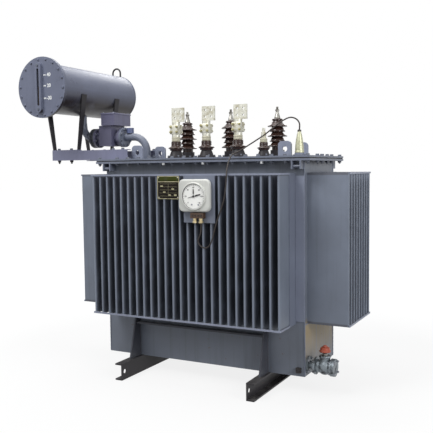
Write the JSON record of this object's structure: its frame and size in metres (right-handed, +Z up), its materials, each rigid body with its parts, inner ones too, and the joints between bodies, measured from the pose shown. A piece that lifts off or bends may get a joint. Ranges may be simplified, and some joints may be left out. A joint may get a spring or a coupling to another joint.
{
  "type": "oil-immersed distribution transformer",
  "caption": "Oil-filled distribution transformer: corrugated fin tank on base channels, bushings on a bolted cover, oil conservator with gas relay, dial thermometer and drain valve.",
  "frame": {"origin": "on the floor, in the middle of the four fixing holes of the base channels", "axes": "+X along the long side with the drain valve at +X and the conservator at -X, the low-voltage side with the dial faces -Y, +Z up"},
  "size_m": [2.1349, 0.995, 2.007],
  "materials": {
    "tank_paint": "semi-gloss slate-grey paint with dust and light rust",
    "dark_paint": "dull dark grey paint",
    "relay_paint": "blue-grey paint on a casting",
    "red_paint": "orange-red paint",
    "valve_iron": "silver paint on cast iron",
    "brown_porcelain": "brown glaze",
    "tinned_brass": "tinned",
    "pocket_brass": "bright",
    "steel_tube": "dark armoured tube",
    "gasket_rubber": "matte",
    "pale_plastic": "matte",
    "case_grey": "light grey paint",
    "black_plastic": "moulded",
    "black_plate": "black plate with a plain frame",
    "gauge_glass": "clear"
  },
  "bodies": {
    "transformer": {"base_channel_left": "dark_paint", "base_channel_right": "dark_paint", "tank_body": "tank_paint", "corner_strips": "tank_paint", "fin_cheeks": "tank_paint", "front_fin_bank": "tank_paint", "rear_fin_bank": "tank_paint", "left_fin_bank": "tank_paint", "right_fin_bank": "tank_paint", "tie_bars": "tank_paint", "gussets": "tank_paint", "stiffeners": "tank_paint", "tank_rim": "tank_paint", "cover_gasket": "gasket_rubber", "cover_plate": "tank_paint", "cover_lifting_lugs": "dark_paint", "tank_lifting_hooks": "tank_paint", "hook_bars": "tank_paint", "hv_clamps": "dark_paint", "hv_porcelain": "brown_porcelain", "hv_terminals": "tinned_brass", "lv_clamps": "dark_paint", "lv_porcelain": "brown_porcelain", "lv_washers": "pale_plastic", "lv_terminals": "tinned_brass", "neutral_terminal": "tinned_brass", "thermometer_pocket": "pocket_brass", "dial_bracket": "tank_paint", "dial_case": "case_grey", "dial_terminal_block": "black_plastic", "cable_glands": "pocket_brass", "capillary_tube": "steel_tube", "nameplate": "black_plate", "earth_terminal": "dark_paint", "conservator_shell": "tank_paint", "conservator_front_cover": "tank_paint", "conservator_rear_end": "tank_paint", "level_gauge_frame": "tank_paint", "level_gauge_glass": "gauge_glass", "conservator_hoop": "dark_paint", "conservator_rails": "dark_paint", "saddle_feet": "dark_paint", "saddle_legs": "dark_paint", "upper_oil_pipe": "tank_paint", "shut_off_valve": "dark_paint", "relay_body": "relay_paint", "relay_head": "relay_paint", "lower_oil_pipe": "tank_paint", "vent_cock": "relay_paint", "drain_valve": "valve_iron", "drain_blind_flange": "valve_iron"},
    "handwheel": {"drain_handwheel": "red_paint"}
  },
  "joints": [
    {"name": "handwheel_turn", "type": "hinge", "parent": "transformer", "child": "handwheel", "pos_m": [0.7585, -0.19, 0.255], "axis": [0, 0, 1], "continuous": true}
  ]
}
